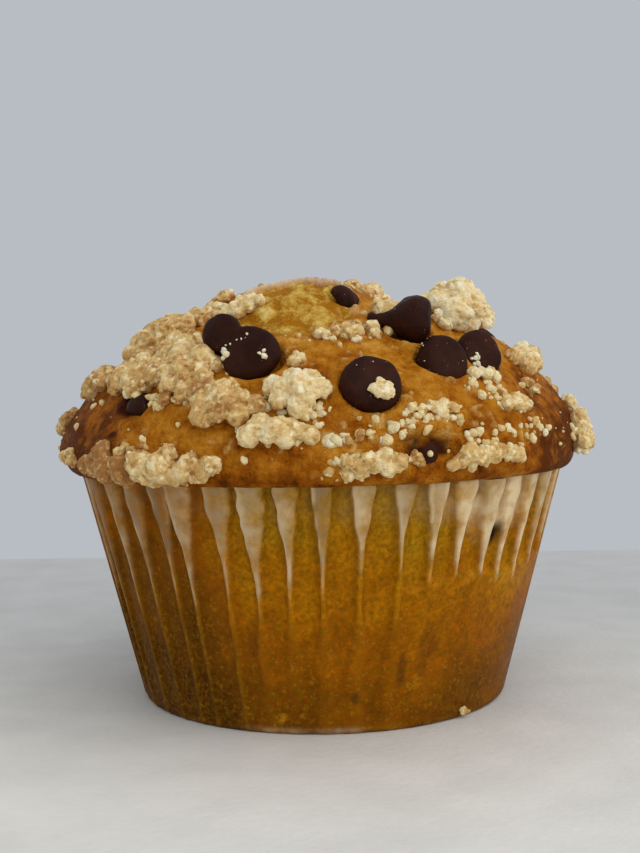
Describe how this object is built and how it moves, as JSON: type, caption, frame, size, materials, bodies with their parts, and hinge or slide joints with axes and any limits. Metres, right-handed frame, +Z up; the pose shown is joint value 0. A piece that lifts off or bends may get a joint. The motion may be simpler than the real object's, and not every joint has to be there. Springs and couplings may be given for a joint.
{
  "type": "streusel chocolate chip muffin in a paper case",
  "caption": "Domed bakery muffin with chocolate chips and crumb topping, standing in a pleated translucent paper baking case.",
  "frame": {"origin": "middle of the paper case's flat base, on the surface it stands on", "axes": "+Z up through the dome; -Y towards the viewer, the side that the picture shows; +X to the viewer's right"},
  "size_m": [0.0752, 0.0746, 0.0586],
  "materials": {
    "cake_crust": "matte baked crust",
    "greased_paper": "translucent greased paper",
    "chocolate": "satin chocolate",
    "streusel": "matte sugary crumb"
  },
  "bodies": {
    "root": {"chip_back_high": "chocolate", "chip_back_left": "chocolate", "chip_back_middle": "chocolate", "chip_back_right": "chocolate", "chip_behind_crag": "chocolate", "chip_front": "chocolate", "chip_in_side": "chocolate", "chip_left_high": "chocolate", "chip_left_pair": "chocolate", "chip_right_back": "chocolate", "chip_right_front": "chocolate", "chip_sunken_left": "chocolate", "chip_top": "chocolate", "chip_under_lip": "chocolate", "muffin_cake": "cake_crust", "paper_case": "greased_paper", "streusel_back_left": "streusel", "streusel_back_low": "streusel", "streusel_back_right": "streusel", "streusel_back_slope": "streusel", "streusel_back_top": "streusel", "streusel_crag_left": "streusel", "streusel_crag_right": "streusel", "streusel_cream": "streusel", "streusel_front_low": "streusel", "streusel_gold": "streusel", "streusel_left_edge": "streusel", "streusel_left_lower": "streusel", "streusel_left_middle": "streusel", "streusel_left_shoulder": "streusel", "streusel_left_upper": "streusel", "streusel_right": "streusel", "streusel_right_edge": "streusel", "streusel_right_low": "streusel", "streusel_rim_front": "streusel", "streusel_rim_left": "streusel", "streusel_rim_middle": "streusel", "streusel_rim_right": "streusel", "streusel_top_right": "streusel"}
  },
  "joints": []
}
